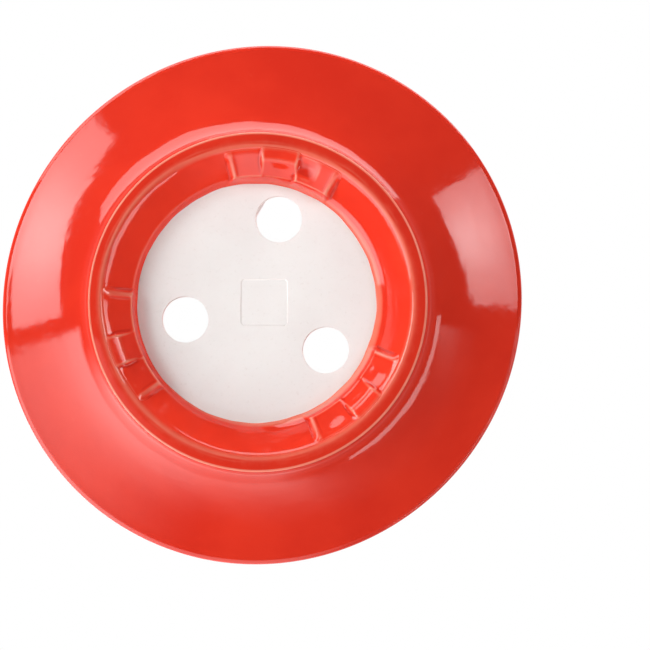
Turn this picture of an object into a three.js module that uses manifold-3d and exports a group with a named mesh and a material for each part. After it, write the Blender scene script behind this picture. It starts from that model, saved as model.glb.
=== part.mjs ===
// Ceramic pour-over coffee dripper: a three-hole, flat-bottomed cone on a wide
// saucer flange, with a foot ring underneath that drops into the mouth of a mug.
// Millimetres, +Z up. The origin is on the table, under the middle of the foot
// ring, and the handle points along +X.
//
// The real piece is slip-cast stoneware under one glaze. Its cast and luted
// features are kept here as separate closed solids, GAP apart.

import * as THREE from 'three';
import { mergeVertices } from 'three/addons/utils/BufferGeometryUtils.js';
import Module from 'manifold-3d';

// ---------------------------------------------------------------- dimensions
const GAP = 0.3;                 // clearance kept between neighbouring solids
const SEGMENTS = 72;             // facets round every turned piece

const SAUCER_R = 57.5;           // outside radius of the saucer flange
const SAUCER_INNER_R = 41.7;     // where the saucer starts outside the foot ring
const SAUCER_OVALITY = 0.0115;   // the thin flange leaves the kiln slightly oval
const SAUCER_OVAL_AXIS = -42;    // degrees, direction of the long axis

const RING_INNER_R = 26.6;       // lower edge of the foot ring's inner slope
const CREST_INNER_R = 34.0;      // flat crest that stands on the table
const CREST_OUTER_R = 35.6;
const RING_OUTER_R = 41.4;       // end of the fillet under the saucer

const FLOOR_R = 26.3;            // bisque floor disc
const FLOOR_BOTTOM_Z = 7.8;      // recess of the floor above the table
const FLOOR_TOP_Z = 10.4;
const DRAIN_R = 5.1;             // drain holes, punched by hand through the floor
const DRAINS = [[4.2, -18.5], [-16.4, 3.5], [14.5, 10.3]];
const SEAL_SIDE = 10.4;          // blank square recess in the underside
const SEAL_DEPTH = 0.4;
const SEAL_CENTRE = [1.0, -0.2];

const LUG_ANGLES = [-79.4, -197.5, -315.7];  // centres of the locating lugs
const LUG_SPAN = 44.2;                       // degrees covered by one lug
const LUG_BUMP_SPAN = 13.5;                  // raised middle of the lug

const CONE_BASE_Z = FLOOR_TOP_Z + GAP;
const CONE_TOP_Z = 75.6;
const CONE_WALL = [[30.2, 14.5], [49.2, 73.0]];  // inner wall line, radius and z
const WALL_RIBS = 12;
const WALL_RIB_WIDTH = 2.4;
const WALL_RIB_HEIGHT = 1.5;
const WALL_RIB_Z = [17.0, 66.0];

const BAR_WIDTH = 3.0;           // raised bars on the floor that lift the paper
const BAR_HEIGHT = 1.7;
const BARS = [                   // direction, distance of the inner edge, extent
  { angle: -150, inner: 12.2, from: -4.5, to: 16.5 },
  { angle: 90, inner: 12.2, from: -4.5, to: 16.5 },
  { angle: -30, inner: 13.0, from: -6.0, to: 13.6 },
];

const HANDLE_WIDTH = 9.0;        // across the strap
const HANDLE_THICK = 5.0;

// ----------------------------------------------------------------- materials
const glaze = () => new THREE.MeshStandardMaterial({ color: 0xd93424, roughness: 0.12, metalness: 0 });
const glazeInside = () => new THREE.MeshStandardMaterial({ color: 0xd23022, roughness: 0.14, metalness: 0 });
const bisque = () => new THREE.MeshStandardMaterial({ color: 0xefebe7, roughness: 0.85, metalness: 0 });

// ------------------------------------------------------------------- helpers
const wasm = await Module();
wasm.setup();

const rad = (deg) => (deg * Math.PI) / 180;

// Closed geometry to a solid, with its shared vertices merged.
function toSolid(geometry) {
  let g = geometry.clone();
  g.deleteAttribute('normal');
  g.deleteAttribute('uv');
  g = mergeVertices(g, 1e-4);
  const pos = Float32Array.from(g.getAttribute('position').array);
  const tri = Uint32Array.from(g.getIndex().array);
  let volume = 0;
  const v = (i) => [pos[3 * i], pos[3 * i + 1], pos[3 * i + 2]];
  const keep = [];
  for (let t = 0; t < tri.length; t += 3) {
    const [i, j, k] = [tri[t], tri[t + 1], tri[t + 2]];
    if (i === j || j === k || k === i) continue;
    const [a, b, c] = [v(i), v(j), v(k)];
    volume += a[0] * (b[1] * c[2] - b[2] * c[1])
      - a[1] * (b[0] * c[2] - b[2] * c[0])
      + a[2] * (b[0] * c[1] - b[1] * c[0]);
    keep.push(i, j, k);
  }
  if (volume < 0) {
    for (let t = 0; t < keep.length; t += 3) [keep[t + 1], keep[t + 2]] = [keep[t + 2], keep[t + 1]];
  }
  return new wasm.Manifold(new wasm.Mesh({
    numProp: 3, vertProperties: pos, triVerts: Uint32Array.from(keep),
  }));
}

function toGeometry(solid) {
  const m = solid.getMesh();
  const count = m.vertProperties.length / m.numProp;
  const pos = new Float32Array(count * 3);
  for (let i = 0; i < count; i += 1) {
    for (let k = 0; k < 3; k += 1) pos[3 * i + k] = m.vertProperties[m.numProp * i + k];
  }
  const g = new THREE.BufferGeometry();
  g.setAttribute('position', new THREE.BufferAttribute(pos, 3));
  g.setIndex(new THREE.BufferAttribute(Uint32Array.from(m.triVerts), 1));
  g.computeVertexNormals();
  return g;
}

// A body of revolution about Z from a closed list of [radius, z] points.
function turned(profile, segments = SEGMENTS) {
  const pts = [...profile, profile[0]].map(([r, z]) => new THREE.Vector2(r, z));
  const g = new THREE.LatheGeometry(pts, segments);
  g.rotateX(Math.PI / 2);
  return toSolid(g);
}

// A pie-shaped block from angle a0 to a1, in degrees, used to cut sectors.
function wedge(a0, a1, radius, z0, z1) {
  const shape = new THREE.Shape();
  shape.moveTo(0, 0);
  const steps = 8;
  for (let i = 0; i <= steps; i += 1) {
    const a = rad(a0 + ((a1 - a0) * i) / steps);
    shape.lineTo(radius * Math.cos(a), radius * Math.sin(a));
  }
  shape.closePath();
  const g = new THREE.ExtrudeGeometry(shape, { depth: z1 - z0, bevelEnabled: false });
  g.translate(0, 0, z0);
  return toSolid(g);
}

// A prism whose outline is given as [radius, z] in the plane at one angle, and
// which is `width` wide across that plane.
function slab(outline, width, angle) {
  const shape = new THREE.Shape(outline.map(([r, z]) => new THREE.Vector2(r, z)));
  const g = new THREE.ExtrudeGeometry(shape, { depth: width, bevelEnabled: false });
  g.translate(0, 0, -width / 2);
  g.rotateX(Math.PI / 2);
  g.rotateZ(rad(angle));
  return toSolid(g);
}

const object = new THREE.Group();

function add(name, solid, material) {
  const mesh = new THREE.Mesh(toGeometry(solid), material);
  mesh.name = name;
  object.add(mesh);
  return mesh;
}

// -------------------------------------------------------------------- saucer
// A sloping flange with a rolled rim. It rests on the lip of wide mugs.
const saucer = turned([
  [SAUCER_INNER_R, 5.87], [44.8, 7.6], [48.0, 9.15], [52.0, 10.8], [55.0, 11.9],
  [56.4, 12.55], [57.2, 13.3], [SAUCER_R, 14.15], [57.2, 15.05], [56.3, 15.55],
  [55.0, 15.5], [50.5, 13.7], [45.0, 11.35], [SAUCER_INNER_R, 10.15],
]);
const saucerMesh = add('saucer', saucer, glaze());
{
  const p = saucerMesh.geometry.getAttribute('position');
  for (let i = 0; i < p.count; i += 1) {
    const x = p.getX(i);
    const y = p.getY(i);
    const r = Math.hypot(x, y);
    const a = Math.atan2(y, x);
    const t = Math.max(0, (r - SAUCER_INNER_R) / (SAUCER_R - SAUCER_INNER_R));
    const k = 1 + SAUCER_OVALITY * t * t * (3 - 2 * t) * Math.cos(2 * (a - rad(SAUCER_OVAL_AXIS)));
    p.setXY(i, x * k, y * k);
  }
  saucerMesh.geometry.computeVertexNormals();
}

// ----------------------------------------------------------------- foot ring
// Inner slope, flat crest, and the fillet that runs out under the saucer.
const footRing = turned([
  [RING_INNER_R, 7.55], [27.3, 6.85], [29.4, 4.65], [32.4, 1.45], [33.3, 0.5],
  [CREST_INNER_R, 0], [CREST_OUTER_R, 0], [36.5, 0.3], [37.0, 1.1],
  [37.3, 2.5], [38.1, 3.95], [39.6, 5.05], [RING_OUTER_R, 5.75],
  [RING_OUTER_R, 10.0], [38.0, FLOOR_TOP_Z], [RING_INNER_R, FLOOR_TOP_Z],
]);
add('foot_ring', footRing, glaze());

// ------------------------------------------------------------- locating lugs
// Three stepped blocks on the inner slope centre the ring on a server's neck
// and leave air gaps between them. Two shallow panels flank a raised bump.
const lugPanel = [
  [27.05, 6.35], [27.4, 4.5], [28.0, 4.03], [31.6, 1.6], [32.2, 1.17],
  [29.4, 4.18], [27.3, 6.38],
];
const lugBump = [
  [27.2, 5.9], [27.4, 3.7], [28.2, 2.95], [30.8, 0.85], [31.6, 0.6],
  [32.6, 0.7], [29.4, 4.1], [27.6, 5.95],
];
const panelRing = turned(lugPanel, 144);
const bumpRing = turned(lugBump, 144);
LUG_ANGLES.forEach((angle, i) => {
  const half = LUG_SPAN / 2;
  const bump = LUG_BUMP_SPAN / 2;
  const body = panelRing.intersect(wedge(angle - half, angle + half, 60, -2, 12));
  const middle = bumpRing.intersect(wedge(angle - bump, angle + bump, 60, -2, 12));
  add(`locating_lug_${i + 1}`, body.add(middle), glaze());
});

// ---------------------------------------------------------------- floor disc
// Unglazed underneath, where the piece stood on its kiln prop.
{
  const disc = new THREE.Shape();
  disc.absarc(0, 0, FLOOR_R, 0, Math.PI * 2, false);
  for (const [x, y] of DRAINS) {
    const hole = new THREE.Path();
    hole.absarc(x, y, DRAIN_R, 0, Math.PI * 2, true);
    disc.holes.push(hole);
  }
  const plate = new THREE.ExtrudeGeometry(disc, {
    depth: FLOOR_TOP_Z - FLOOR_BOTTOM_Z, bevelEnabled: false, curveSegments: 24,
  });
  plate.translate(0, 0, FLOOR_BOTTOM_Z);
  const seal = new THREE.BoxGeometry(SEAL_SIDE, SEAL_SIDE, SEAL_DEPTH * 2);
  seal.translate(SEAL_CENTRE[0], SEAL_CENTRE[1], FLOOR_BOTTOM_Z);
  add('floor_disc', toSolid(plate).subtract(toSolid(seal)), bisque());
}

// ----------------------------------------------------------------- cone wall
const coneWall = turned([
  [28.6, CONE_BASE_Z], [37.6, CONE_BASE_Z], [35.8, 11.7], [35.0, 13.6],
  [35.4, 18.0], [52.5, 72.0], [52.9, 74.1], [52.3, 75.2],
  [51.0, CONE_TOP_Z], [49.8, 75.0], CONE_WALL[1], CONE_WALL[0], [29.1, 12.3],
]);
add('cone_wall', coneWall, glaze());

// ----------------------------------------------------------------- wall ribs
// Ribs down the inside of the cone keep the paper off the wall.
const wallR = (z) => {
  const [[r0, z0], [r1, z1]] = CONE_WALL;
  return r0 + ((r1 - r0) * (z - z0)) / (z1 - z0);
};
for (let i = 0; i < WALL_RIBS; i += 1) {
  const [z0, z1] = WALL_RIB_Z;
  const set = 0.45;  // the wall is faceted and the rib is flat across its width
  const outline = [
    [wallR(z0) - set, z0], [wallR(z1) - set, z1],
    [wallR(z1) - set - 0.4, z1 + 0.5], [wallR(z1 - 4) - set - WALL_RIB_HEIGHT, z1 - 4],
    [wallR(z0 + 3) - set - WALL_RIB_HEIGHT, z0 + 3], [wallR(z0) - set - 0.4, z0 - 0.4],
  ];
  const name = `wall_rib_${String(i + 1).padStart(2, '0')}`;
  add(name, slab(outline, WALL_RIB_WIDTH, 15 + (360 / WALL_RIBS) * i), glazeInside());
}

// ---------------------------------------------------------------- floor bars
BARS.forEach(({ angle, inner, from, to }, i) => {
  const shape = new THREE.Shape();
  const r = BAR_WIDTH / 2;
  shape.absarc(inner + r, from + r, r, Math.PI, 2 * Math.PI, false);
  shape.absarc(inner + r, to - r, r, 0, Math.PI, false);
  const g = new THREE.ExtrudeGeometry(shape, {
    depth: BAR_HEIGHT, bevelEnabled: false, curveSegments: 8,
  });
  g.translate(0, 0, FLOOR_TOP_Z + GAP);
  g.rotateZ(rad(angle));
  add(`floor_bar_${i + 1}`, toSolid(g), glazeInside());
});

// -------------------------------------------------------------------- handle
// A small strap from the cone wall down to the saucer, inside the flange's edge.
{
  const curve = new THREE.CatmullRomCurve3([
    [48.6, 60.4], [51.4, 59.6], [53.6, 56.6], [54.5, 51.0], [54.6, 43.0],
    [54.3, 34.0], [53.4, 25.5], [52.0, 19.0], [51.0, 15.3],
  ].map(([r, z]) => new THREE.Vector3(r, 0, z)), false, 'catmullrom', 0.5);
  const section = new THREE.Shape();
  const n = 14;
  for (let i = 0; i < n; i += 1) {
    const a = (i / n) * Math.PI * 2;
    const c = Math.cos(a);
    const s = Math.sin(a);
    const x = (HANDLE_WIDTH / 2) * Math.sign(c) * Math.abs(c) ** 0.8;
    const y = (HANDLE_THICK / 2) * Math.sign(s) * Math.abs(s) ** 0.8;
    if (i === 0) section.moveTo(x, y); else section.lineTo(x, y);
  }
  section.closePath();
  const g = new THREE.ExtrudeGeometry(section, { steps: 22, bevelEnabled: false, extrudePath: curve });
  // trim both ends to the faces that they meet, GAP away from them
  const clear = turned([
    [20, 11.5], [35.4 + GAP, 17.5], [52.5 + GAP, 72.0], [52.5 + GAP, 80], [20, 80],
  ]);
  const under = turned([
    [30, 0], [60, 0], [60, 17.5 + GAP + 0.05], [55.0, 15.5 + GAP + 0.05],
    [50.5, 13.7 + GAP + 0.05], [45.0, 11.35 + GAP + 0.05], [30, 8],
  ]);
  add('handle', toSolid(g).subtract(clear).subtract(under), glaze());
}

export default object;
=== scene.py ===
import math
import bmesh
import bpy
import numpy as np
from mathutils import Vector, Matrix, noise


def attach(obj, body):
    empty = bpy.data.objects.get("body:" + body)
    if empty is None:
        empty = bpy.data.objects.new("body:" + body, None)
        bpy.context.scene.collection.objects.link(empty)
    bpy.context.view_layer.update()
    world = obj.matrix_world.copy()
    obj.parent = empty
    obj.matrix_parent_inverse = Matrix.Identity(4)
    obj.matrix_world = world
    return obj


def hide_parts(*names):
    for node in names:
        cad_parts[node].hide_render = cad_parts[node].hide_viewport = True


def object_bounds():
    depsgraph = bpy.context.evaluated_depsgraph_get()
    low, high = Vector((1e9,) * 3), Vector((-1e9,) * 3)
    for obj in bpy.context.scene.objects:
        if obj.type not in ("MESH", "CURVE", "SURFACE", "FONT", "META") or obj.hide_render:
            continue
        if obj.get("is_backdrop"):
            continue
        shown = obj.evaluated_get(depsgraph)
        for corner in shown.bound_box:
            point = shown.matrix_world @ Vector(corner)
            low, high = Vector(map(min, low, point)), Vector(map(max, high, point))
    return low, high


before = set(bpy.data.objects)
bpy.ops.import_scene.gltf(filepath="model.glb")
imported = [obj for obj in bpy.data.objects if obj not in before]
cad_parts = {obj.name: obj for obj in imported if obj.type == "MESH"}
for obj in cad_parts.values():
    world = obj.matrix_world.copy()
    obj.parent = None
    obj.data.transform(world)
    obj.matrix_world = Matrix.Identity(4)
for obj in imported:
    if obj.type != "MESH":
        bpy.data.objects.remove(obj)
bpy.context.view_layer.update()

MM = 0.001
scene = bpy.context.scene

# ---------------------------------------------------------------------------
# dimensions, in millimetres, in the row frame: +Z up, foot ring on z = 0
# ---------------------------------------------------------------------------
SAUCER_R = 57.5
OVALITY, OVAL_AXIS = 0.0115, math.radians(-42)
SPLIT_R = 41.5              # the saucer and the foot ring meet here, tangent
FLOOR_Z0, FLOOR_Z1 = 7.8, 10.4
DRAIN_R = 5.1
DRAINS = [(4.2, -18.5), (-16.4, 3.5), (14.5, 10.3)]
SEAL_C, SEAL_SIDE, SEAL_DEPTH = (1.0, -0.2), 10.4, 0.20
LUGS = [-79.4, -197.5, -315.7]
LUG_SPAN, BUMP_SPAN = 44.2, 13.0
CONE_IN = ((30.2, 14.5), (49.2, 73.0))
CONE_OUT = ((35.4, 18.0), (52.4, 72.0))
RIBS = 12


def smooth(a, b, x):
    t = np.clip((x - a) / (b - a), 0.0, 1.0)
    return t * t * (3 - 2 * t)


# ---------------------------------------------------------------------------
# profile and mesh helpers
# ---------------------------------------------------------------------------
def rounded(points, step=0.9, arc=7.0):
    """Points (r, z, radius) to a dense polyline with every corner rounded."""
    out = []
    n = len(points)
    for i, (x, y, rad_) in enumerate(points):
        p = np.array((x, y), float)
        if i in (0, n - 1) or rad_ <= 0:
            out.append([p])
            continue
        a = np.array(points[i - 1][:2], float) - p
        b = np.array(points[i + 1][:2], float) - p
        la, lb = np.linalg.norm(a), np.linalg.norm(b)
        a, b = a / la, b / lb
        ang = math.acos(max(-1.0, min(1.0, float(a @ b))))
        if ang > math.pi - 1e-3:
            out.append([p])
            continue
        cut = rad_ / math.tan(ang / 2)
        lim = 0.48 * min(la, lb)
        if cut > lim:
            rad_ *= lim / cut
            cut = lim
        c = p + (a + b) / np.linalg.norm(a + b) * (rad_ / math.sin(ang / 2))
        p0, p1 = p + a * cut, p + b * cut
        t0 = math.atan2(*(p0 - c)[::-1])
        t1 = math.atan2(*(p1 - c)[::-1])
        d = (t1 - t0 + math.pi) % (2 * math.pi) - math.pi
        k = max(3, int(math.ceil(math.degrees(abs(d)) / arc)))
        out.append([c + rad_ * np.array((math.cos(t0 + d * j / k), math.sin(t0 + d * j / k))) for j in range(k + 1)])
    flat = [q for part in out for q in part]
    dense = [flat[0]]
    for q in flat[1:]:
        gap = np.linalg.norm(q - dense[-1])
        if gap < 1e-6:
            continue
        k = int(math.ceil(gap / step))
        s = dense[-1]
        for j in range(1, k + 1):
            dense.append(s + (q - s) * j / k)
    return np.array(dense)


def make(name, verts, faces, sharp_loops=()):
    """Vertices in millimetres to an object in metres, smooth shaded, faces out."""
    me = bpy.data.meshes.new(name)
    me.from_pydata([tuple(v) for v in (np.asarray(verts) * MM)], [], faces)
    bm = bmesh.new()
    bm.from_mesh(me)
    bmesh.ops.remove_doubles(bm, verts=bm.verts, dist=1e-7)
    bmesh.ops.recalc_face_normals(bm, faces=bm.faces)
    if bm.calc_volume(signed=True) < 0:
        bmesh.ops.reverse_faces(bm, faces=bm.faces)
    for f in bm.faces:
        f.smooth = True
    bm.to_mesh(me)
    bm.free()
    me.update()
    o = bpy.data.objects.new(name, me)
    scene.collection.objects.link(o)
    return o


def sharpen(o, degrees=38):
    """Edges sharper than this split the shading, so flat hidden walls don't bend it."""
    me = o.data
    bm = bmesh.new()
    bm.from_mesh(me)
    lim = math.radians(degrees)
    for e in bm.edges:
        if len(e.link_faces) == 2 and e.calc_face_angle(0.0) > lim:
            e.smooth = False
    bm.to_mesh(me)
    bm.free()


def lathe(profile, n):
    """A closed profile turned about Z. profile is a list of (r, z)."""
    pr = np.asarray(profile)
    if np.linalg.norm(pr[0] - pr[-1]) < 1e-6:
        pr = pr[:-1]
    m = len(pr)
    th = np.arange(n) * 2 * math.pi / n
    r, z = pr[:, 0], pr[:, 1]
    v = np.stack([np.outer(np.cos(th), r), np.outer(np.sin(th), r), np.tile(z, (n, 1))], -1).reshape(-1, 3)
    f = []
    for i in range(n):
        a, b = i * m, ((i + 1) % n) * m
        for j in range(m):
            k = (j + 1) % m
            f.append((a + j, b + j, b + k, a + k))
    return v, f


def wobble(v, amp, scale, seed, zonly=False):
    """The slow unevenness of a hand-finished cast: moves vertices by a few hundredths."""
    out = v.copy()
    for i, p in enumerate(v):
        q = Vector((p[0] / scale + seed, p[1] / scale - seed, p[2] / scale + 2 * seed))
        out[i, 2] += amp * noise.noise(q)
        if not zonly:
            out[i, 0] += 0.5 * amp * noise.noise(q + Vector((31.7, 0, 0)))
            out[i, 1] += 0.5 * amp * noise.noise(q + Vector((0, 47.1, 0)))
    return out


def oval(v):
    """The thin flange leaves the kiln slightly oval: same rule as the CAD saucer."""
    r = np.hypot(v[:, 0], v[:, 1])
    a = np.arctan2(v[:, 1], v[:, 0])
    t = np.clip((r - 41.7) / (SAUCER_R - 41.7), 0, 1)
    k = 1 + OVALITY * t * t * (3 - 2 * t) * np.cos(2 * (a - OVAL_AXIS))
    out = v.copy()
    out[:, 0] *= k
    out[:, 1] *= k
    return out


def curvature(o, blur=2, name="edge"):
    """Stores the surface's mean curvature, in 1/mm, convex positive, on the vertices."""
    me = o.data
    n = len(me.vertices)
    co = np.zeros(n * 3, np.float32)
    me.vertices.foreach_get("co", co)
    co = co.reshape(-1, 3).astype(float) / MM
    no = np.zeros(n * 3, np.float32)
    me.vertex_normals.foreach_get("vector", no)
    no = no.reshape(-1, 3).astype(float)
    ed = np.zeros(len(me.edges) * 2, np.int64)
    me.edges.foreach_get("vertices", ed)
    ed = ed.reshape(-1, 2)
    d = co[ed[:, 1]] - co[ed[:, 0]]
    l2 = (d ** 2).sum(1) + 1e-9
    k = ((no[ed[:, 1]] - no[ed[:, 0]]) * d).sum(1) / l2
    w = 1.0 / np.sqrt(l2)
    num = np.zeros(n)
    den = np.zeros(n)
    for c in (0, 1):
        np.add.at(num, ed[:, c], k)
        np.add.at(den, ed[:, c], 1.0)
    h = num / np.maximum(den, 1e-9)
    h = np.clip(h, -2.5, 2.5)
    for _ in range(blur):
        num = h * 1.0
        den = np.ones(n)
        for c in (0, 1):
            np.add.at(num, ed[:, c], h[ed[:, 1 - c]] * w * 0.35)
            np.add.at(den, ed[:, c], w * 0.35)
        h = num / den
    at = me.attributes.get(name) or me.attributes.new(name, "FLOAT", "POINT")
    at.data.foreach_set("value", h.astype(np.float32))
    return h


def quiet(o, where, name="edge"):
    """Clears the stored curvature on seams with a neighbouring piece and on hidden walls."""
    me = o.data
    n = len(me.vertices)
    co = np.zeros(n * 3, np.float32)
    me.vertices.foreach_get("co", co)
    co = co.reshape(-1, 3) / MM
    h = np.zeros(n, np.float32)
    at = me.attributes[name]
    at.data.foreach_get("value", h)
    h[where(np.hypot(co[:, 0], co[:, 1]), co[:, 2])] = 0.0
    at.data.foreach_set("value", h)


def pool(o, name="edge"):
    """On the lugs the glaze ran off the edges and gathered deep in the corners; the hollows and end corners are also
    darkened well beyond that, as painted shade.
    """
    n = len(o.data.vertices)
    h = np.zeros(n, np.float32)
    at = o.data.attributes[name]
    at.data.foreach_get("value", h)
    at.data.foreach_set("value", np.where(h < 0, h * 2.4, h * 0.85).astype(np.float32))


def thin_glaze_and_floor_light(o, name="edge"):
    """Where the glaze runs out on to the bare clay it is thin, and pale; the pale band is also painted light bounced
    off the white floor, stronger towards one side.
    """
    me = o.data
    n = len(me.vertices)
    co = np.zeros(n * 3, np.float32)
    me.vertices.foreach_get("co", co)
    co = co.reshape(-1, 3).astype(float) / MM
    h = np.zeros(n, np.float32)
    at = me.attributes[name]
    at.data.foreach_get("value", h)
    r = np.hypot(co[:, 0], co[:, 1])
    side = 0.5 + 0.5 * np.cos(np.arctan2(co[:, 1], co[:, 0]) - math.radians(55.0))
    # a paler band next to the floor: thin glaze plus painted light, strongest towards one side
    h = h + ((0.16 + 0.34 * side) * (1 - smooth(26.5, 27.5, r)) * (co[:, 2] > 5.0)).astype(np.float32)
    at.data.foreach_set("value", h.astype(np.float32))


def paint(o, name, values):
    at = o.data.attributes.get(name) or o.data.attributes.new(name, "FLOAT", "POINT")
    at.data.foreach_set("value", np.asarray(values, np.float32))


# ---------------------------------------------------------------------------
# profiles
# ---------------------------------------------------------------------------
def saucer_under():
    """Underside of the saucer from SPLIT_R outwards: the slope eases towards the rim."""
    rs = np.linspace(SPLIT_R, 55.8, 26)
    s = np.interp(rs, [41.5, 44.8, 50.0, 54.9, 55.5, 55.9], [30.5, 26.5, 22.5, 20.0, 18.3, 17.6])
    z = np.concatenate([[0], np.cumsum(np.diff(rs) * np.tan(np.radians((s[1:] + s[:-1]) / 2)))]) + 5.80
    return rs, z


# Slopes of the foot ring's inner side, in degrees, from the floor out to the
# crest. The glaze has softened its edge in some places more than in others.
INNER_R = [26.3, 26.6, 27.2, 28.0, 30.5, 31.5, 32.1, 32.5, 32.8, 33.2, 33.6, 34.0, 34.4, 34.7, 35.2, 35.9, 36.6]
TIGHT = [50, 48.5, 47, 46, 46, 46, 46, 46, 46, 44, 36, 20, 3, -3, -8, -12, -14]
WORN = [50, 48, 47, 47, 47, 47, 47, 46.5, 46, 44, 42, 39.5, 28, 5, -6, -10, -12]
BROAD = [50, 48, 47, 46, 46, 46, 46, 46, 45, 42, 34, 20, 4, -2, -7, -12, -14]


def slope_z(slopes):
    r = np.linspace(INNER_R[0], INNER_R[-1], 400)
    t = np.tan(np.radians(np.interp(r, INNER_R, slopes)))
    z = np.concatenate([[0], np.cumsum(np.diff(r) * -(t[1:] + t[:-1]) / 2)])
    return r, (z - z.min()) * (7.82 / (z[0] - z.min()))


SLOPES = [slope_z(x) for x in (TIGHT, WORN, BROAD)]
EDGE_R, EDGE_Z = 36.6, float(SLOPES[0][1][-1])


def worn_weights(a):
    """How far the crest is worn at an angle: left side, then the lower side."""
    deg = (-np.degrees(a)) % 360.0            # the angle as seen from below
    left = smooth(104, 150, deg) * (1 - smooth(160, 196, deg))
    low = smooth(196, 240, deg) * (1 - smooth(296, 330, deg)) + 0.5 * smooth(160, 196, deg) * (1 - smooth(196, 240, deg))
    return left, np.clip(low, 0, 1)


def ring_z(r, a):
    """Height of the foot ring's inner side and crest at a radius and angle."""
    wl, wb = worn_weights(a)
    z = [np.interp(r, x, y) for x, y in SLOPES]
    return z[0] * (1 - wl - wb) + z[1] * wl + z[2] * wb


# the foot ring's underside, from the glaze line out to the saucer
_rs, _zs = saucer_under()
_fr = [37.25, 37.6, 38.2, 39.0, 40.0, 41.0, SPLIT_R]
_fs = [70.0, 58.0, 47.5, 40.5, 35.2, 31.6, 30.5]
_rr = np.linspace(37.25, SPLIT_R, 30)
_tt = np.tan(np.radians(np.interp(_rr, _fr, _fs)))
_zz = np.concatenate([[0], np.cumsum(np.diff(_rr) * (_tt[1:] + _tt[:-1]) / 2)])
_zz += _zs[0] - _zz[-1]
_inner = np.concatenate([np.linspace(26.3, 32.0, 30)[:-1], np.linspace(32.0, EDGE_R, 40)])
_edge = rounded([(EDGE_R - 0.15, EDGE_Z - 0.04, 0), (36.98, EDGE_Z + 0.06, 0.42), (_rr[0], _zz[0], 0)], step=0.16, arc=8)
RING = np.concatenate([
    np.stack([_inner[:-1], ring_z(_inner[:-1], np.full(len(_inner) - 1, math.radians(-60.0)))], 1),
    _edge[_edge[:, 0] > EDGE_R - 0.02], np.stack([_rr[1:], _zz[1:]], 1)])


def glaze_line(v):
    """The glaze was wiped off the floor by hand, so its edge is not quite round."""
    out = v.copy()
    r = np.hypot(v[:, 0], v[:, 1])
    a = np.arctan2(v[:, 1], v[:, 0])
    w = 1 - smooth(26.5, 28.1, r)
    w = np.where(v[:, 2] < 9.0, w, 0.0)
    dr = 0.07 * np.sin(3 * a + 0.6) + 0.05 * np.sin(7 * a + 2.1) + 0.045 * np.sin(13 * a + 0.4) + 0.03 * np.sin(29 * a)
    out[:, 0] += w * (np.cos(a) * dr - 0.74)
    out[:, 1] += w * (np.sin(a) * dr - 0.03)
    return out


# ---------------------------------------------------------------------------
# saucer
# ---------------------------------------------------------------------------
def build_saucer():
    rs, zs = saucer_under()
    under = np.stack([rs, zs], 1)
    tail = rounded([
        (rs[-1], zs[-1], 0), (56.5, zs[-1] + 0.22, 0.9), (57.44, zs[-1] + 0.80, 1.15), (57.46, 14.95, 1.0), (56.4, 15.6, 1.3),
        (54.0, 15.0, 4.0), (46.0, 11.75, 8.0), (SPLIT_R, 10.3, 0),
    ], step=0.8, arc=7)
    prof = np.concatenate([under[:-1], tail])
    v, f = lathe(prof, 400)
    v = oval(v)
    r = np.hypot(v[:, 0], v[:, 1])
    keep = smooth(SPLIT_R, 45.0, r)[:, None]
    w = wobble(v, 0.030, 12.0, 3.1) * 0.6 + wobble(v, 0.014, 4.5, 8.4) * 0.4
    v = v + (w - v) * keep
    v[:, 2] = np.maximum(v[:, 2], 0.0)
    o = make("saucer_glazed", v, f)
    sharpen(o, 40)
    curvature(o, 2)
    quiet(o, lambda r, z: (r < 43.0) | (r > 55.0) | (z > 11.9))
    return o


# ---------------------------------------------------------------------------
# foot ring
# ---------------------------------------------------------------------------
def build_ring():
    prof = np.concatenate([RING, [(SPLIT_R, 10.3), (38.0, 10.38), (26.3, 10.38), (26.3, 9.2)]])
    v, f = lathe(prof, 600)
    r = np.hypot(v[:, 0], v[:, 1])
    a = np.arctan2(v[:, 1], v[:, 0])
    inside = (r < EDGE_R) & (v[:, 2] < 9.0)
    v[inside, 2] = ring_z(r[inside], a[inside])
    drop = ring_z(np.full_like(a, EDGE_R), a) - EDGE_Z
    outer = (r >= EDGE_R) & (r < 37.5) & (v[:, 2] < 3.0)
    v[outer, 2] += (drop * (1 - smooth(EDGE_Z + 0.1, EDGE_Z + 1.0, v[:, 2])))[outer]
    v = glaze_line(v)
    r = np.hypot(v[:, 0], v[:, 1])
    keep = (smooth(26.5, 28.0, r) * (1 - smooth(39.5, 41.3, r)))[:, None]
    w = wobble(v, 0.040, 7.0, 5.5)
    v = v + (w - v) * keep
    v[:, 2] = np.maximum(v[:, 2], 0.0)
    o = make("foot_ring_glazed", v, f)
    sharpen(o, 50)
    curvature(o, 2)
    quiet(o, lambda r, z: (r > 39.5) | (z > 9.0) | (r < 26.9))
    thin_glaze_and_floor_light(o)
    return o


# ---------------------------------------------------------------------------
# locating lugs: stepped blocks that rise out of the inner slope
# ---------------------------------------------------------------------------
def soften(z, sigma):
    """A small separable blur of a height grid, which keeps its border."""
    k = int(math.ceil(3 * sigma))
    w = np.exp(-0.5 * (np.arange(-k, k + 1) / sigma) ** 2)
    w /= w.sum()
    for ax in (0, 1):
        pad = [(k, k) if i == ax else (0, 0) for i in (0, 1)]
        e = np.pad(z, pad, mode="edge")
        z = sum(wi * np.take(e, np.arange(i, i + z.shape[ax]), axis=ax) for i, wi in enumerate(w))
    return z


def dish(A, R, ca, wa, cr, wr, depth):
    """A smooth hollow, depth positive, centred at an angle and a radius."""
    u, v = (A - ca) / wa, (R - cr) / wr
    return depth * np.clip(1 - u * u, 0, 1) ** 1.5 * np.clip(1 - v * v, 0, 1) ** 1.5


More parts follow.
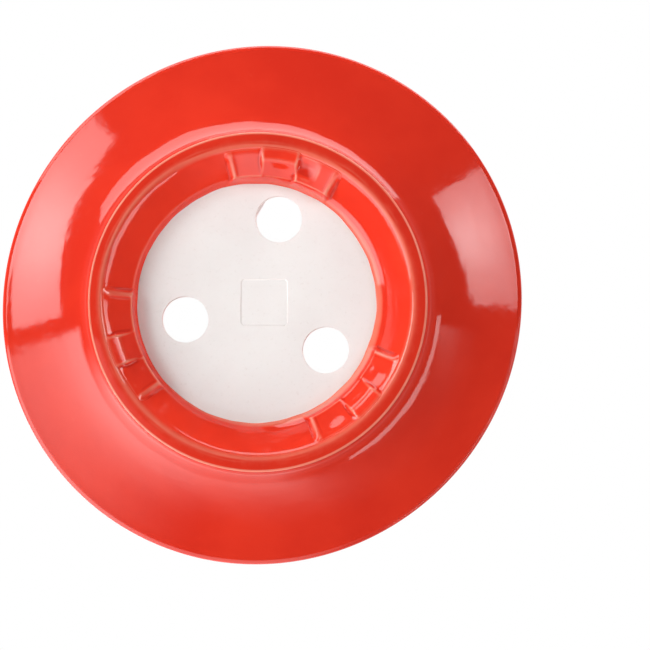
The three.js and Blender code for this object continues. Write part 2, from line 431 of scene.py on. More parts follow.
def build_lug(index, centre, shape):
    half = LUG_SPAN / 2
    na = 430
    th = np.radians(centre + np.linspace(-half - 4.2, half + 4.2, na))
    r = np.concatenate([np.linspace(26.3, 27.8, 26)[:-1], np.linspace(27.8, 36.2, 90)])
    nr = len(r)
    R, T = np.meshgrid(r, th)
    A = np.degrees(T) - centre                    # angle from the lug's middle
    base = ring_z(R, T)
    b0, b1 = shape["bump"]

    # side panels: an even slope down from the crest, then a steep inner wall
    pz = shape["panel"]
    pr = [26.3, 26.6, 27.3, 27.6, 32.3, 33.0, 33.6, 34.5, 36.5]
    panel = np.interp(R, pr, [9.2, 7.7, pz[0] + 0.8, pz[0], 0.93, 0.58, 0.32, 0.04, 0.2])
    panel2 = np.interp(R, pr, [9.2, 7.7, pz[1] + 0.8, pz[1], 0.93, 0.58, 0.32, 0.04, 0.2])
    # middle block: a shelf in from the crest, an edge, a slope, and its own wall
    bz = shape["block"]
    block = np.interp(R, [26.3, 26.5, 27.4, 27.65, 30.9, 31.4, 33.3, 34.5, 36.5], [9.2, 7.75, bz + 0.65, bz, 1.20, 0.86, 0.17, 0.0, 0.2])
    one, two = panel, panel2
    for args in shape["one"]:
        one = one + dish(A, R, *args)
    for args in shape["two"]:
        two = two + dish(A, R, *args)
    for args in shape["mid"]:
        block = block + dish(A, R, *args)
    s0 = smooth(b0 - 0.75, b0 + 0.75, A)
    s1 = smooth(b1 - 0.75, b1 + 0.75, A)
    top = one * (1 - s0) + block * s0 * (1 - s1) + two * s1
    # a low ridge where the glaze has drawn up along each step
    for b in (b0, b1):
        top = top - 0.07 * np.exp(-((A - b) / 0.8) ** 2) * smooth(27.4, 28.4, R) * (1 - smooth(32.0, 33.2, R))
    # the two end faces: one leans, one is nearly upright
    win = smooth(-half - 2.0, -half + 0.7, A) * (1 - smooth(half - 0.8, half + 1.9, A))
    h = np.maximum(base - top, 0.0) * win
    # the glaze has drawn up in a thick lip at each end
    ends = np.exp(-((A + half - 1.3) / 0.75) ** 2) + np.exp(-((A - half + 1.5) / 0.75) ** 2)
    h = h + 0.11 * ends * smooth(27.4, 28.4, R) * (1 - smooth(32.4, 33.6, R))
    fade = 1 - smooth(34.3, 35.9, R)
    z = base - h * fade
    z = soften(z, 1.9) * 0.5 + soften(z, 4.2) * 0.5
    # where the lug has run out it ducks just inside the ring
    lift = base - z
    z = base - lift + 0.07 * (1 - smooth(0.015, 0.07, lift))
    z = np.where(R < 26.6, np.maximum(z, 7.0), z)
    X, Y = R * np.cos(T), R * np.sin(T)
    topv = np.stack([X, Y, z], -1).reshape(-1, 3)
    botv = np.stack([X, Y, np.maximum(base, z) + 0.9], -1).reshape(-1, 3)
    topv = glaze_line(topv)
    botv = glaze_line(botv)
    topv = wobble(topv, 0.040, 7.0, 5.5)
    topv[:, 2] = np.maximum(topv[:, 2], 0.01)
    botv[:, 2] = np.clip(botv[:, 2], topv[:, 2] + 0.3, 10.3)
    v = np.concatenate([topv, botv])
    n = na * nr
    f = []
    for i in range(na - 1):
        for j in range(nr - 1):
            a = i * nr + j
            f.append((a, a + nr, a + nr + 1, a + 1))
            f.append((n + a, n + a + 1, n + a + nr + 1, n + a + nr))
    for i in range(na - 1):
        for j in (0, nr - 1):
            a = i * nr + j
            f.append((a, n + a, n + a + nr, a + nr))
    for j in range(nr - 1):
        for i in (0, na - 1):
            a = i * nr + j
            f.append((a, a + 1, n + a + 1, n + a))
    o = make(f"locating_lug_{index + 1}_glazed", v, f)
    sharpen(o, 65)
    curvature(o, 7)
    quiet(o, lambda r, z: (r > 35.4) | (r < 27.6))
    # darkens the lug's hollows and end faces: partly pooled glaze, partly painted shade
    pool(o)
    thin_glaze_and_floor_light(o)
    return o


# ---------------------------------------------------------------------------
# floor
# ---------------------------------------------------------------------------
def boolean(target, cutter, op="DIFFERENCE"):
    m = target.modifiers.new("cut", "BOOLEAN")
    m.operation = op
    m.solver = "EXACT"
    m.object = cutter
    dg = bpy.context.evaluated_depsgraph_get()
    me = bpy.data.meshes.new_from_object(target.evaluated_get(dg))
    target.modifiers.clear()
    old = target.data
    target.data = me
    bpy.data.meshes.remove(old)
    bpy.data.objects.remove(cutter)


def prism(name, loop, z0, z1, top=None):
    n = len(loop)
    v = [(x, y, z0) for x, y in loop] + [(x, y, z1) for x, y in top or loop]
    f = [tuple(range(n))[::-1], tuple(range(n, 2 * n))]
    f += [(i, (i + 1) % n, n + (i + 1) % n, n + i) for i in range(n)]
    return make(name, np.array(v), f)


def circle(cx, cy, r, n, warp=0.0, ph=0.0):
    return [(cx + r * (1 + warp * math.sin(2 * a + ph)) * math.cos(a), cy + r * (1 + warp * math.sin(2 * a + ph)) * math.sin(a))
            for a in (2 * math.pi * i / n for i in range(n))]


def build_floor():
    o = prism("floor_disc_bisque", circle(0, 0, 28.4, 256), FLOOR_Z0, FLOOR_Z1)
    # a stepped rim, so the floor sits inside the ring but reaches under the cone
    collar = lathe([(27.0, 6.0), (30.0, 6.0), (30.0, 9.9), (27.0, 9.9)], 256)
    boolean(o, make("cut_collar", *collar))
    for k, (x, y) in enumerate(DRAINS):
        loop = circle(x, y, DRAIN_R, 96, 0.006, k * 1.3)
        if k == 0:
            # the first hole was punched a little askew and keeps a flat on one side
            n = (math.cos(math.radians(-150)), math.sin(math.radians(-150)))
            low = prism("cut", loop, FLOOR_Z0 - 1, FLOOR_Z0 + 1.3)
            boolean(o, low)
            flat = []
            for px, py in loop:
                d = (px - x) * n[0] + (py - y) * n[1]
                over = max(0.0, d - 4.72)
                flat.append((px - n[0] * over, py - n[1] * over))
            boolean(o, prism("cut", flat, FLOOR_Z0 + 1.2, FLOOR_Z1 + 1))
        else:
            boolean(o, prism("cut", loop, FLOOR_Z0 - 1, FLOOR_Z1 + 1))
    h = SEAL_SIDE / 2
    c = 0.55
    sq = [(-h + c, -h), (h - c, -h), (h, -h + c), (h, h - c), (h - c, h), (-h + c, h), (-h, h - c), (-h, -h + c)]
    ca, sa = math.cos(0.006), math.sin(0.006)

    def seal_loop(k):
        return [(SEAL_C[0] + k * (x * ca - y * sa), SEAL_C[1] + k * (x * sa + y * ca)) for x, y in sq]

    # the stamp's walls lean out, so the clay let go of it
    boolean(o, prism("cut", seal_loop(1.0 + 0.30 / h), FLOOR_Z0 - 0.3, FLOOR_Z0 + SEAL_DEPTH, seal_loop(1.0 - SEAL_DEPTH / h)))
    bm = bmesh.new()
    bm.from_mesh(o.data)
    bmesh.ops.remove_doubles(bm, verts=bm.verts, dist=2e-6)
    bmesh.ops.dissolve_degenerate(bm, dist=1e-6, edges=bm.edges)
    edges = [e for e in bm.edges if len(e.link_faces) == 2 and e.calc_face_angle(0.0) > math.radians(50)]
    bmesh.ops.bevel(bm, geom=edges, offset=0.22 * MM, offset_type="OFFSET", segments=3, profile=0.6, affect="EDGES", clamp_overlap=True)
    bmesh.ops.triangulate(bm, faces=[f for f in bm.faces if len(f.verts) > 4])
    bmesh.ops.recalc_face_normals(bm, faces=bm.faces)
    for f in bm.faces:
        f.smooth = True
        f.material_index = 1 if (f.normal.z > 0.4 and f.calc_center_median().z > 9.0 * MM) else 0
    for e in bm.edges:
        if len(e.link_faces) == 2:
            e.smooth = e.calc_face_angle(0.0) < math.radians(30)
    bm.to_mesh(o.data)
    bm.free()
    paint(o, "edge", np.zeros(len(o.data.vertices)))
    return o


# ---------------------------------------------------------------------------
# cone, ribs, bars, handle
# ---------------------------------------------------------------------------
def build_cone():
    prof = rounded([
        (27.9, 10.38, 0), (29.0, 10.42, 0.4), (30.0, 13.6, 2.2), (49.25, 73.1, 4.0), (49.9, 75.5, 1.3), (52.6, 75.6, 1.3),
        (52.55, 72.4, 1.6), (35.25, 17.4, 6.0), (35.0, 12.3, 3.0), (38.4, 10.33, 3.5), (SPLIT_R - 0.6, 10.28, 0),
        (SPLIT_R - 0.6, 9.6, 0), (27.9, 9.6, 0), (27.9, 10.38, 0),
    ], step=1.3, arc=8)
    v, f = lathe(prof, 300)
    r = np.hypot(v[:, 0], v[:, 1])
    keep = smooth(12.5, 20.0, v[:, 2])[:, None]
    w = wobble(v, 0.12, 16.0, 1.7)
    v = v + (w - v) * keep
    v[:, 2] = np.minimum(v[:, 2], 75.58)
    o = make("cone_wall_glazed", v, f)
    sharpen(o, 60)
    curvature(o, 2)
    return o


def wall_r(z):
    (r0, z0), (r1, z1) = CONE_IN
    return r0 + (r1 - r0) * (z - z0) / (z1 - z0)


def build_rib(i):
    """A rib that swells out of the wall with a soft foot on both sides."""
    ang = math.radians(15 + 360.0 / RIBS * i)
    nu, nw = 64, 22
    z = np.linspace(14.8, 67.5, nu)
    w = np.linspace(-2.3, 2.3, nw)
    Z, W = np.meshgrid(z, w, indexing="ij")
    end = smooth(14.9, 19.5, Z) * (1 - smooth(61.0, 67.3, Z))
    wide = 1.15 * (0.55 + 0.45 * end)
    h = 1.75 * end * np.exp(-np.abs(W / wide) ** 2.6) - 0.10
    tilt = math.atan2(CONE_IN[1][0] - CONE_IN[0][0], CONE_IN[1][1] - CONE_IN[0][1])
    R = wall_r(Z)
    rr = np.sqrt(np.maximum(R ** 2 - W ** 2, 0)) - h * math.cos(tilt)
    zz = Z + h * math.sin(tilt)
    back = np.sqrt(np.maximum(R ** 2 - W ** 2, 0)) + 0.9
    ca, sa = math.cos(ang), math.sin(ang)
    front = np.stack([rr * ca - W * sa, rr * sa + W * ca, zz], -1).reshape(-1, 3)
    rear = np.stack([back * ca - W * sa, back * sa + W * ca, Z], -1).reshape(-1, 3)
    v = np.concatenate([front, rear])
    n = nu * nw
    f = []
    for a in range(nu - 1):
        for b in range(nw - 1):
            k = a * nw + b
            f.append((k, k + 1, k + nw + 1, k + nw))
            f.append((n + k, n + k + nw, n + k + nw + 1, n + k + 1))
    for a in range(nu - 1):
        for b in (0, nw - 1):
            k = a * nw + b
            f.append((k, n + k, n + k + nw, k + nw))
    for b in range(nw - 1):
        for a in (0, nu - 1):
            k = a * nw + b
            f.append((k, k + 1, n + k + 1, n + k))
    o = make(f"wall_rib_{i + 1:02d}_glazed", v, f)
    sharpen(o, 60)
    curvature(o, 1)
    return o


def build_bar(i, angle, inner, lo, hi):
    """A low rounded bar on the floor, with a soft foot."""
    nu, nw = 72, 26
    a = math.radians(angle)
    cu, half = (lo + hi) / 2, (hi - lo) / 2
    u = np.linspace(-half - 0.9, half + 0.9, nu)
    w = np.linspace(-2.4, 2.4, nw)
    U, W = np.meshgrid(u, w, indexing="ij")
    d = np.hypot(np.maximum(np.abs(U) - (half - 1.5), 0), W)
    h = 1.95 * np.exp(-np.abs(d / 1.42) ** 3.4) - 0.06
    n0, t0 = (math.cos(a), math.sin(a)), (-math.sin(a), math.cos(a))
    X = (inner + 1.5 + W) * n0[0] + (U + cu) * t0[0]
    Y = (inner + 1.5 + W) * n0[1] + (U + cu) * t0[1]
    v = np.concatenate([
        np.stack([X, Y, FLOOR_Z1 + h], -1).reshape(-1, 3),
        np.stack([X, Y, np.full_like(X, FLOOR_Z1 - 0.8)], -1).reshape(-1, 3)])
    n = nu * nw
    f = []
    for p in range(nu - 1):
        for q in range(nw - 1):
            k = p * nw + q
            f.append((k, k + nw, k + nw + 1, k + 1))
            f.append((n + k, n + k + 1, n + k + nw + 1, n + k + nw))
    for p in range(nu - 1):
        for q in (0, nw - 1):
            k = p * nw + q
            f.append((k, n + k, n + k + nw, k + nw))
    for q in range(nw - 1):
        for p in (0, nu - 1):
            k = p * nw + q
            f.append((k, k + 1, n + k + 1, n + k))
    o = make(f"floor_bar_{i}_glazed", v, f)
    sharpen(o, 60)
    curvature(o, 1)
    return o


def build_handle():
    """A pulled strap, flared where its two ends were luted on."""
    key = np.array([
        (45.6, 60.2), (48.6, 60.4), (51.4, 59.6), (53.6, 56.6), (54.5, 51.0), (54.6, 43.0),
        (54.3, 34.0), (53.4, 25.5), (52.0, 19.0), (51.0, 15.3), (50.3, 12.8)])
    # Catmull-Rom through the key points
    pts = []
    for i in range(len(key) - 1):
        p0, p1, p2, p3 = key[max(i - 1, 0)], key[i], key[i + 1], key[min(i + 2, len(key) - 1)]
        for t in np.linspace(0, 1, 10, endpoint=False):
            pts.append(0.5 * ((2 * p1) + (-p0 + p2) * t + (2 * p0 - 5 * p1 + 4 * p2 - p3) * t * t + (-p0 + 3 * p1 - 3 * p2 + p3) * t ** 3))
    pts.append(key[-1])
    pts = np.array(pts)
    tan = np.gradient(pts, axis=0)
    tan /= np.linalg.norm(tan, axis=1)[:, None]
    seg = np.concatenate([[0], np.cumsum(np.linalg.norm(np.diff(pts, axis=0), axis=1))])
    total = seg[-1]
    m = 40
    v = []
    for k, (p, t) in enumerate(zip(pts, tan)):
        s = seg[k]
        top = np.exp(-((s - 2.2) / 2.6) ** 2) if s > 2.2 else 1.0
        bot = np.exp(-((total - s - 1.6) / 2.8) ** 2) if total - s > 1.6 else 1.0
        w = 4.35 + 1.9 * top + 2.0 * bot
        th = 2.35 + 1.6 * top + 1.15 * bot
        nrm = np.array((t[1], -t[0]))
        for j in range(m):
            a = 2 * math.pi * j / m
            c, q = math.cos(a), math.sin(a)
            x = th * math.copysign(abs(c) ** 0.85, c)
            y = w * math.copysign(abs(q) ** 0.85, q)
            # a shallow groove down the outside of the strap
            if c > 0:
                x -= 0.35 * math.exp(-(y / 1.9) ** 2) * (1 - max(top, bot))
            v.append((p[0] + nrm[0] * x, y, p[1] + nrm[1] * x))
    n = len(pts)
    f = []
    for k in range(n - 1):
        for j in range(m):
            a, b = k * m + j, k * m + (j + 1) % m
            f.append((a, b, b + m, a + m))
    f.append(tuple(range(m))[::-1])
    f.append(tuple(range((n - 1) * m, n * m)))
    v = np.array(v)
    v[:, 0] = np.minimum(v[:, 0], 57.4)
    o = make("handle_glazed", v, f)
    sharpen(o, 60)
    curvature(o, 2)
    return o


# ---------------------------------------------------------------------------
# materials
# ---------------------------------------------------------------------------
def new_material(name):
    m = bpy.data.materials.new(name)
    m.use_nodes = True
    nt = m.node_tree
    nt.nodes.clear()
    out = nt.nodes.new("ShaderNodeOutputMaterial")
    sh = nt.nodes.new("ShaderNodeBsdfPrincipled")
    nt.links.new(sh.outputs[0], out.inputs[0])
    return m, nt, sh


def node(nt, kind, **kw):
    n = nt.nodes.new(kind)
    for k, v in kw.items():
        setattr(n, k, v)
    return n


def mapped(nt, value, lo, hi, a=0.0, b=1.0):
    n = node(nt, "ShaderNodeMapRange", interpolation_type="SMOOTHSTEP")
    n.inputs["From Min"].default_value = lo
    n.inputs["From Max"].default_value = hi
    n.inputs["To Min"].default_value = a
    n.inputs["To Max"].default_value = b
    nt.links.new(value, n.inputs["Value"])
    return n.outputs["Result"]


def mix(nt, fac, a, b, kind="MIX"):
    n = node(nt, "ShaderNodeMix", data_type="RGBA", blend_type=kind)
    if hasattr(fac, "links"):
        nt.links.new(fac, n.inputs["Factor"])
    else:
        n.inputs["Factor"].default_value = fac
    for sock, val in ((n.inputs[6], a), (n.inputs[7], b)):
        if hasattr(val, "links"):
            nt.links.new(val, sock)
        else:
            sock.default_value = (*val, 1.0)
    return n.outputs[2]


def math_node(nt, op, a, b=None, clamp=False):
    n = node(nt, "ShaderNodeMath", operation=op, use_clamp=clamp)
    for i, val in enumerate((a, b)):
        if val is None:
            continue
        if hasattr(val, "links"):
            nt.links.new(val, n.inputs[i])
        else:
            n.inputs[i].default_value = val
    return n.outputs[0]


def coords(nt, scale=(1, 1, 1)):
    tc = node(nt, "ShaderNodeTexCoord")
    mp = node(nt, "ShaderNodeMapping")
    mp.inputs["Scale"].default_value = scale
    nt.links.new(tc.outputs["Object"], mp.inputs["Vector"])
    return mp.outputs["Vector"]


def noise_tex(nt, vec, scale, detail=2.0, rough=0.5, distort=0.0):
    n = node(nt, "ShaderNodeTexNoise")
    nt.links.new(vec, n.inputs["Vector"])
    n.inputs["Scale"].default_value = scale
    n.inputs["Detail"].default_value = detail
    n.inputs["Roughness"].default_value = rough
    n.inputs["Distortion"].default_value = distort
    return n.outputs["Fac"]


def glaze_material(name, body, pale, deep, inside=None):
    m, nt, sh = new_material(name)
    vec = coords(nt)
    if inside:
        # inside the foot ring the red is made a shade brighter, as painted light in the recess
        tc = node(nt, "ShaderNodeTexCoord")
        sep = node(nt, "ShaderNodeSeparateXYZ")
        nt.links.new(tc.outputs["Object"], sep.inputs[0])
        rr = math_node(nt, "SQRT", math_node(nt, "ADD", math_node(nt, "POWER", sep.outputs[0], 2.0), math_node(nt, "POWER", sep.outputs[1], 2.0)))
        body = mix(nt, mapped(nt, rr, 0.0330, 0.0350, 0.0, 1.0), inside, body)
    at = node(nt, "ShaderNodeAttribute", attribute_name="edge")
    curv = at.outputs["Fac"]
    # slow pooling of the glaze, and a finer mottle of colour in it
    pool = noise_tex(nt, vec, 55.0, 3.0, 0.55)
    fine = noise_tex(nt, vec, 700.0, 3.0, 0.6)
    base = mix(nt, mapped(nt, pool, 0.3, 0.72, 0.0, 0.38), body, deep)
    base = mix(nt, mapped(nt, fine, 0.60, 0.90, 0.0, 0.05), base, pale)
    # deeper where it pooled in hollows, pale where it ran thin over an edge; on the lugs the hollows also carry
    # painted shade, and by the floor the pale band also carries painted light
    hollow = mapped(nt, curv, -0.45, -0.06, 0.55, 0.0)
    base = mix(nt, hollow, base, deep)
    ragged = noise_tex(nt, vec, 420.0, 2.0, 0.6)
    edge_in = math_node(nt, "ADD", curv, math_node(nt, "MULTIPLY", math_node(nt, "SUBTRACT", ragged, 0.5), 0.09))
    thin = node(nt, "ShaderNodeMapRange", interpolation_type="LINEAR")
    thin.inputs["From Min"].default_value = 0.05
    thin.inputs["From Max"].default_value = 0.55
    thin.inputs["To Max"].default_value = 0.72
    nt.links.new(edge_in, thin.inputs["Value"])
    thin = thin.outputs["Result"]
    base = mix(nt, thin, base, pale)
    # pinholes
    vor = node(nt, "ShaderNodeTexVoronoi", feature="F1")
    nt.links.new(vec, vor.inputs["Vector"])
    vor.inputs["Scale"].default_value = 150.0
    sel = node(nt, "ShaderNodeSeparateColor")
    nt.links.new(vor.outputs["Color"], sel.inputs[0])
    some = mapped(nt, sel.outputs[0], 0.93, 0.95, 0.0, 1.0)
    spot = mapped(nt, vor.outputs["Distance"], 0.03, 0.055, 1.0, 0.0)
    pin = math_node(nt, "MULTIPLY", some, spot)
    base = mix(nt, math_node(nt, "MULTIPLY", pin, 0.6), base, (0.12, 0.012, 0.008))
    nt.links.new(base, sh.inputs["Base Color"])
    # a wet, glassy surface with the faintest orange peel and pull marks
    peel = noise_tex(nt, vec, 260.0, 2.0, 0.5)
    swirl = noise_tex(nt, coords(nt, (1, 1, 6)), 95.0, 2.0, 0.5, 0.4)
    height = math_node(nt, "ADD", math_node(nt, "MULTIPLY", peel, 0.55), math_node(nt, "MULTIPLY", swirl, 0.9))
    height = math_node(nt, "SUBTRACT", height, math_node(nt, "MULTIPLY", pin, 1.2))
    bump = node(nt, "ShaderNodeBump")
    bump.inputs["Strength"].default_value = 0.22
    bump.inputs["Distance"].default_value = 0.00016
    nt.links.new(height, bump.inputs["Height"])
    nt.links.new(bump.outputs[0], sh.inputs["Normal"])
    rough = mapped(nt, fine, 0.3, 0.8, 0.045, 0.10)
    nt.links.new(rough, sh.inputs["Roughness"])
    sh.inputs["IOR"].default_value = 1.52
    sh.inputs["Specular IOR Level"].default_value = 0.5
    return m


def bisque_material():
    m, nt, sh = new_material("bisque_clay")
    vec = coords(nt)
    cloud = noise_tex(nt, vec, 60.0, 4.0, 0.55)
    grain = noise_tex(nt, vec, 1500.0, 3.0, 0.6)
    base = mix(nt, mapped(nt, cloud, 0.32, 0.7, 0.0, 1.0), (0.92, 0.89, 0.87), (0.95, 0.93, 0.91))
    base = mix(nt, mapped(nt, grain, 0.56, 0.80, 0.0, 0.30), base, (0.74, 0.69, 0.65))
    # painted shade round the floor's edge, where it meets the ring, tinted warm as if by light off the red walls
    tc = node(nt, "ShaderNodeTexCoord")
    sep = node(nt, "ShaderNodeSeparateXYZ")
    nt.links.new(tc.outputs["Object"], sep.inputs[0])
    rr = math_node(nt, "SQRT", math_node(nt, "ADD", math_node(nt, "POWER", sep.outputs[0], 2.0), math_node(nt, "POWER", sep.outputs[1], 2.0)))
    corner_shade = mapped(nt, rr, 0.0235, 0.0262, 0.0, 0.30)
    base = mix(nt, corner_shade, base, (0.86, 0.74, 0.70))
    nt.links.new(base, sh.inputs["Base Color"])
    sh.inputs["Roughness"].default_value = 0.82
    sh.inputs["IOR"].default_value = 1.45
    bump = node(nt, "ShaderNodeBump")
    bump.inputs["Strength"].default_value = 0.30
    bump.inputs["Distance"].default_value = 0.00010
    hh = math_node(nt, "ADD", math_node(nt, "MULTIPLY", grain, 0.6), noise_tex(nt, vec, 300.0, 3.0, 0.5))
    nt.links.new(hh, bump.inputs["Height"])
    nt.links.new(bump.outputs[0], sh.inputs["Normal"])
    return m


RED = glaze_material("red_glaze", (0.745, 0.036, 0.016), (0.88, 0.30, 0.20), (0.58, 0.017, 0.009))
RED_IN = glaze_material("red_glaze_inside", (0.78, 0.034, 0.016), (0.90, 0.30, 0.20), (0.60, 0.017, 0.009))
# the last colour brightens the foot ring's inside and the lugs as painted light
RED_RING_PAINTED_LIGHT = glaze_material("red_glaze_ring", (0.745, 0.036, 0.016), (0.88, 0.30, 0.20), (0.58, 0.017, 0.009), (0.92, 0.048, 0.021))
BISQUE = bisque_material()

# ---------------------------------------------------------------------------
# pieces
# ---------------------------------------------------------------------------


def place(o, slot, mats, *nodes):
    o.data.materials.clear()
    for m in mats:
        o.data.materials.append(m)
    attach(o, "root")
    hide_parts(*nodes)
    return o


place(build_saucer(), "outer_glaze", [RED], "saucer")
place(build_ring(), "outer_glaze", [RED_RING_PAINTED_LIGHT], "foot_ring")
# every lug was cut from the same pattern and then touched up by hand, so the
# hollows (angle, half width, radius, half width, depth) differ a little
SHAPES = [
    {"bump": (-9.0, 5.6), "panel": (4.30, 3.45), "block": 4.45,
     "one": [(-15.0, 7.0, 30.5, 3.0, 0.10)], "two": [(9.9, 5.0, 30.9, 2.4, 0.85)], "mid": [(-1.5, 5.5, 29.4, 1.6, 0.16)]},
    {"bump": (-7.5, 4.6), "panel": (4.15, 4.35), "block": 4.5,
     "one": [(-12.0, 5.0, 31.0, 2.6, 0.20), (-15.5, 6.0, 29.5, 2.5, 0.06)], "two": [(13.6, 6.4, 30.2, 2.8, 0.12)],
     "mid": [(-1.4, 4.6, 29.2, 1.9, 0.10)]},
    {"bump": (-7.6, 5.2), "panel": (4.2, 4.1), "block": 4.45,
     "one": [(-14.0, 6.0, 30.4, 2.4, 0.25)], "two": [(12.8, 5.6, 29.8, 3.0, 0.22)], "mid": [(-1.2, 5.0, 29.2, 1.9, 0.10)]},
]
for i, c in enumerate(LUGS):
    place(build_lug(i, c, SHAPES[i]), "outer_glaze", [RED_RING_PAINTED_LIGHT], f"locating_lug_{i + 1}")
place(build_floor(), "bisque", [BISQUE, RED_IN], "floor_disc")
place(build_cone(), "outer_glaze", [RED], "cone_wall")
for i in range(RIBS):
    place(build_rib(i), "inner_glaze", [RED_IN], f"wall_rib_{i + 1:02d}")
for i, (a, inner, lo, hi) in enumerate([(-150, 12.2, -4.5, 16.5), (90, 12.2, -4.5, 16.5), (-30, 13.0, -6.0, 12.7)], 1):
    place(build_bar(i, a, inner, lo, hi), "inner_glaze", [RED_IN], f"floor_bar_{i}")
place(build_handle(), "outer_glaze", [RED], "handle")

# ---------------------------------------------------------------------------
# camera: under the dripper, looking up at it, a few degrees off its axis
# ---------------------------------------------------------------------------
DIST = 0.812
TILT, TILT_DIR = math.radians(4.7), math.atan2(0.56, 0.83)
STRIP_ROLL = 14.0
centre = Vector((0, 0, 0.014))
away = Vector((math.sin(TILT) * math.cos(TILT_DIR), math.sin(TILT) * math.sin(TILT_DIR), -math.cos(TILT)))
cam_data = bpy.data.cameras.new("camera")
cam_data.sensor_width = 36.0
cam_data.lens = 18.0 / (0.07193 / 0.812)
cam_data.clip_start, cam_data.clip_end = 0.05, 20.0
cam = bpy.data.objects.new("camera", cam_data)
scene.collection.objects.link(cam)
fwd = -away
up = Vector((0, -1, 0))
right = fwd.cross(up).normalized()
up = right.cross(fwd).normalized()
PX = 0.07193 / 325.0                      # metres a pixel at the rim's plane
aim = centre + right * (325 - 261.5) * PX - up * (325 - 304.6) * PX
cam.location = centre + away * DIST
look = (aim - cam.location).normalized()
rx = look.cross(up).normalized()
uy = rx.cross(look).normalized()
rot = Matrix((rx, uy, -look)).transposed()
cam.rotation_mode = "QUATERNION"
cam.rotation_quaternion = rot.to_quaternion()
scene.camera = cam

# ---------------------------------------------------------------------------
# studio: pale floor far below, white surround, and soft boxes under the piece
# ---------------------------------------------------------------------------
scene.view_settings.view_transform = "Standard"
scene.view_settings.look = "None"
scene.view_settings.exposure = 0.0
scene.view_settings.gamma = 1.0

def image_dir(azimuth, polar):
    """Direction from the object: azimuth as the camera sees it, polar from straight down."""
    a, p = math.radians(azimuth), math.radians(polar)
    return Vector((math.sin(p) * math.cos(a), -math.sin(p) * math.sin(a), -math.cos(p)))


def softbox(name, azimuth, polar, width, height, radiance, dist=1.0, glossy=True, roll=0.0):
    d = image_dir(azimuth, polar)
    data = bpy.data.lights.new(name, "AREA")
    data.shape = "RECTANGLE"
    data.size, data.size_y = width, height
    data.energy = radiance * math.pi * width * height
    o = bpy.data.objects.new(name, data)
    scene.collection.objects.link(o)
    o.location = Vector((0, 0, 0.01)) + d * dist
    # x across the azimuth, y along the polar direction, -z at the object
    x = Vector((-math.sin(math.radians(azimuth)), -math.cos(math.radians(azimuth)), 0)).normalized()
    z = d
    y = z.cross(x).normalized()
    m = Matrix((x, y, z)).transposed()
    o.rotation_mode = "QUATERNION"
    o.rotation_quaternion = (m @ Matrix.Rotation(math.radians(roll), 3, "Z")).to_quaternion()
    o.visible_camera = False
    o.visible_glossy = glossy
    return o


world = bpy.data.worlds.new("studio")
scene.world = world
world.use_nodes = True
wt = world.node_tree
wt.nodes.clear()
w_out = node(wt, "ShaderNodeOutputWorld")
w_bg = node(wt, "ShaderNodeBackground")
wt.links.new(w_bg.outputs[0], w_out.inputs[0])
w_dir = node(wt, "ShaderNodeTexCoord").outputs["Generated"]


def w_dot(vec):
    n = node(wt, "ShaderNodeVectorMath", operation="DOT_PRODUCT")
    wt.links.new(w_dir, n.inputs[0])
    n.inputs[1].default_value = tuple(vec)
    return n.outputs["Value"]


def w_times(*values):
    out = values[0]
    for v in values[1:]:
        out = math_node(wt, "MULTIPLY", out, v)
    return out


def w_panel(corners, base, spot, amp, sigma, soft=0.006):
    """A bright panel bounded by great circles, hottest at one point, as a softbox is."""
    pts = [image_dir(*c) for c in corners]
    mid = sum(pts, Vector((0, 0, 0))).normalized()
    inside = []
    for i, p0 in enumerate(pts):
        n = p0.cross(pts[(i + 1) % len(pts)]).normalized()
        if n.dot(mid) < 0:
            n = -n
        inside.append(mapped(wt, w_dot(n), -soft, soft))
    k = 2.0 / math.radians(sigma) ** 2
    # exp(-(angle/sigma)^2) from the dot product with the hot spot's direction
    e = math_node(wt, "MULTIPLY", math_node(wt, "SUBTRACT", w_dot(image_dir(*spot)), 1.0), k)
    glow = math_node(wt, "EXPONENT", e)
    level = math_node(wt, "ADD", math_node(wt, "MULTIPLY", glow, amp), base)
    return w_times(level, *inside)


# pale overhead, dim below: only the two softboxes and the low table are bright there
sky = math_node(wt, "ADD", mapped(wt, w_dot((0, 0, 1)), -0.12, 0.0, 0.04, 0.22), mapped(wt, w_dot((0, 0, 1)), 0.2, 0.6, 0.0, 0.74))
left = w_panel([(133, 45.5), (133, 57.5), (140, 60.0), (158, 61.3), (180.5, 62.6), (180.5, 46)], 3.9, (160, 54), 4.7, 11.0)
right_box = w_panel([(38.5, 36), (36.8, 54.3), (22, 53.2), (9, 51), (2.5, 49), (2.5, 36)], 3.3, (22, 47), 4.7, 8.0)
# a white table beyond the lower side, lit from its far end
below = w_times(mapped(wt, w_dot((0, 1, 0)), 0.0, 0.03), mapped(wt, w_dot((0.07, 1, 0)), 0.0, 0.03), mapped(wt, w_dot((-0.07, 1, 0)), 0.0, 0.03))
near = mapped(wt, w_dot((-1, 0, 0)), 0.22, 0.82, 0.0, 2.3)
far = mapped(wt, w_dot((0, 0, -1)), 0.70, 0.36, 0.0, 1.9)
past = math_node(wt, "MAXIMUM", mapped(wt, w_dot((0, 0, -1)), 0.10, 0.30), mapped(wt, w_dot(image_dir(248, 90)), 0.50, 0.80, 0.0, 0.72))
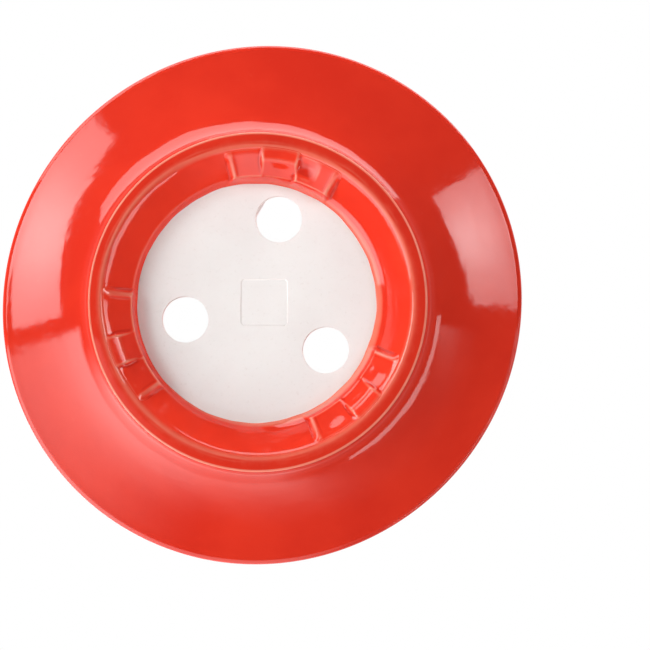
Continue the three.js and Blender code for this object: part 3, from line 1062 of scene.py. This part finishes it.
# the hand that holds the piece keeps one side of it dark
shade = mapped(wt, w_dot(image_dir(318, 90)), 0.64, 0.84, 1.0, 0.10)
table = w_times(below, math_node(wt, "ADD", near, far), past, shade)
total = sky
for part in (left, right_box, table):
    total = math_node(wt, "ADD", total, part)
w_col = node(wt, "ShaderNodeCombineColor")
for k in range(3):
    wt.links.new(total, w_col.inputs[k])
wt.links.new(w_col.outputs[0], w_bg.inputs["Color"])
w_bg.inputs["Strength"].default_value = 1.0

# a long strip beyond the upper side, just under the level of the dripper
softbox("strip_far", 97, 95, 2.9, 0.60, 3.4, roll=STRIP_ROLL)
softbox("strip_near", 328, 72.5, 1.1, 0.15, 3.4)
# fills that shape the broad surfaces without showing in the glaze
softbox("fill_left", 150, 60, 0.8, 0.8, 0.75, glossy=False)
softbox("fill_front", 35, 16, 0.6, 0.6, 0.75, glossy=False)
softbox("fill_right", 28, 75, 0.8, 0.6, 1.5, glossy=False)
# an overhead box, for the upper side
softbox("box_over", 215, 148, 0.7, 0.5, 3.0, dist=1.2)

bm = bmesh.new()
bmesh.ops.create_grid(bm, x_segments=40, y_segments=40, size=6.5)
me = bpy.data.meshes.new("studio_floor")
bm.to_mesh(me)
bm.free()
floor = bpy.data.objects.new("studio_floor", me)
floor.location = (0, 0, -1.7)
scene.collection.objects.link(floor)
fm, fnt, fsh = new_material("studio_floor")
fsh.inputs["Base Color"].default_value = (0.86, 0.86, 0.86, 1)
fsh.inputs["Roughness"].default_value = 0.9
me.materials.append(fm)
bm = bmesh.new()
bmesh.ops.create_uvsphere(bm, u_segments=48, v_segments=24, radius=6.8)
me = bpy.data.meshes.new("studio_dome")
bm.to_mesh(me)
bm.free()
dome = bpy.data.objects.new("studio_dome", me)
scene.collection.objects.link(dome)
dm = bpy.data.materials.new("studio_dome")
dm.use_nodes = True
dm.node_tree.nodes.clear()
d_out = node(dm.node_tree, "ShaderNodeOutputMaterial")
d_em = node(dm.node_tree, "ShaderNodeEmission")
d_em.inputs["Color"].default_value = (1, 1, 1, 1)
d_em.inputs["Strength"].default_value = 1.0
dm.node_tree.links.new(d_em.outputs[0], d_out.inputs[0])
me.materials.append(dm)
for o in (floor, dome):
    o.visible_glossy = False
    o.visible_diffuse = False
    o.visible_transmission = False
    o.visible_shadow = False
    o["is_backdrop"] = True

lo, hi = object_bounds()
